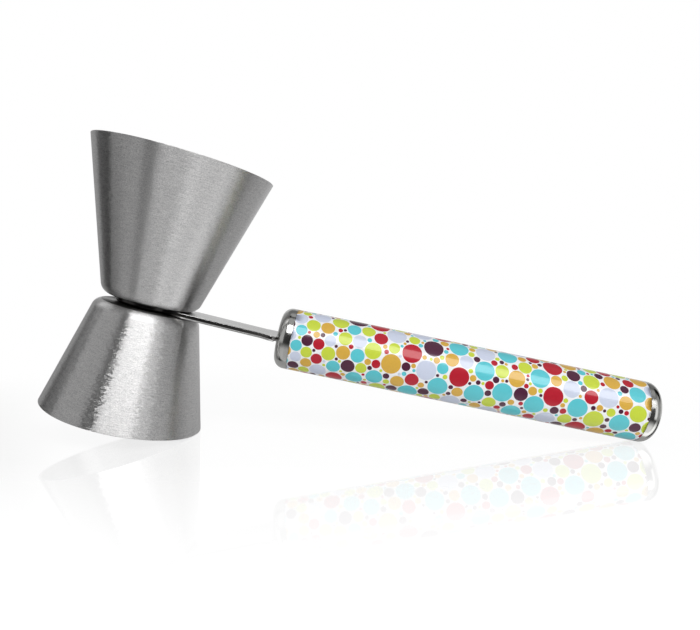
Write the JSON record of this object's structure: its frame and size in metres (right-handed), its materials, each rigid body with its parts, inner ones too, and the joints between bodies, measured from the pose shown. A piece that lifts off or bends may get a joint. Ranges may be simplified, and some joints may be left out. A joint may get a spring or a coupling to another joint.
{
  "type": "double bar jigger",
  "caption": "Double bar jigger: two conical steel measuring cups joined base to base, held by a flat strip arm and a round handle wrapped in a dotted sleeve.",
  "frame": {"origin": "centre of the small cup's rim, on the plane of that rim", "axes": "+Z along the cups' common axis towards the large cup, +X along the arm towards the handle, +Y across"},
  "size_m": [0.1692, 0.05, 0.073],
  "materials": {
    "cup_steel": "brushed around the cup's axis",
    "arm_steel": "satin strip with sheared edges",
    "weld_steel": "weld metal",
    "cap_steel": "polished stainless steel",
    "tube_steel": "plain drawn tube",
    "printed_film": "glossy white film printed with dots in six colours"
  },
  "bodies": {
    "root": {"large_cup": "cup_steel", "small_cup": "cup_steel", "arm": "arm_steel", "upper_weld_spots": "weld_steel", "lower_weld_spots": "weld_steel", "front_cap": "cap_steel", "tang_welds": "weld_steel", "handle_tube": "tube_steel", "rear_cap": "cap_steel", "printed_sleeve": "printed_film"}
  },
  "joints": []
}
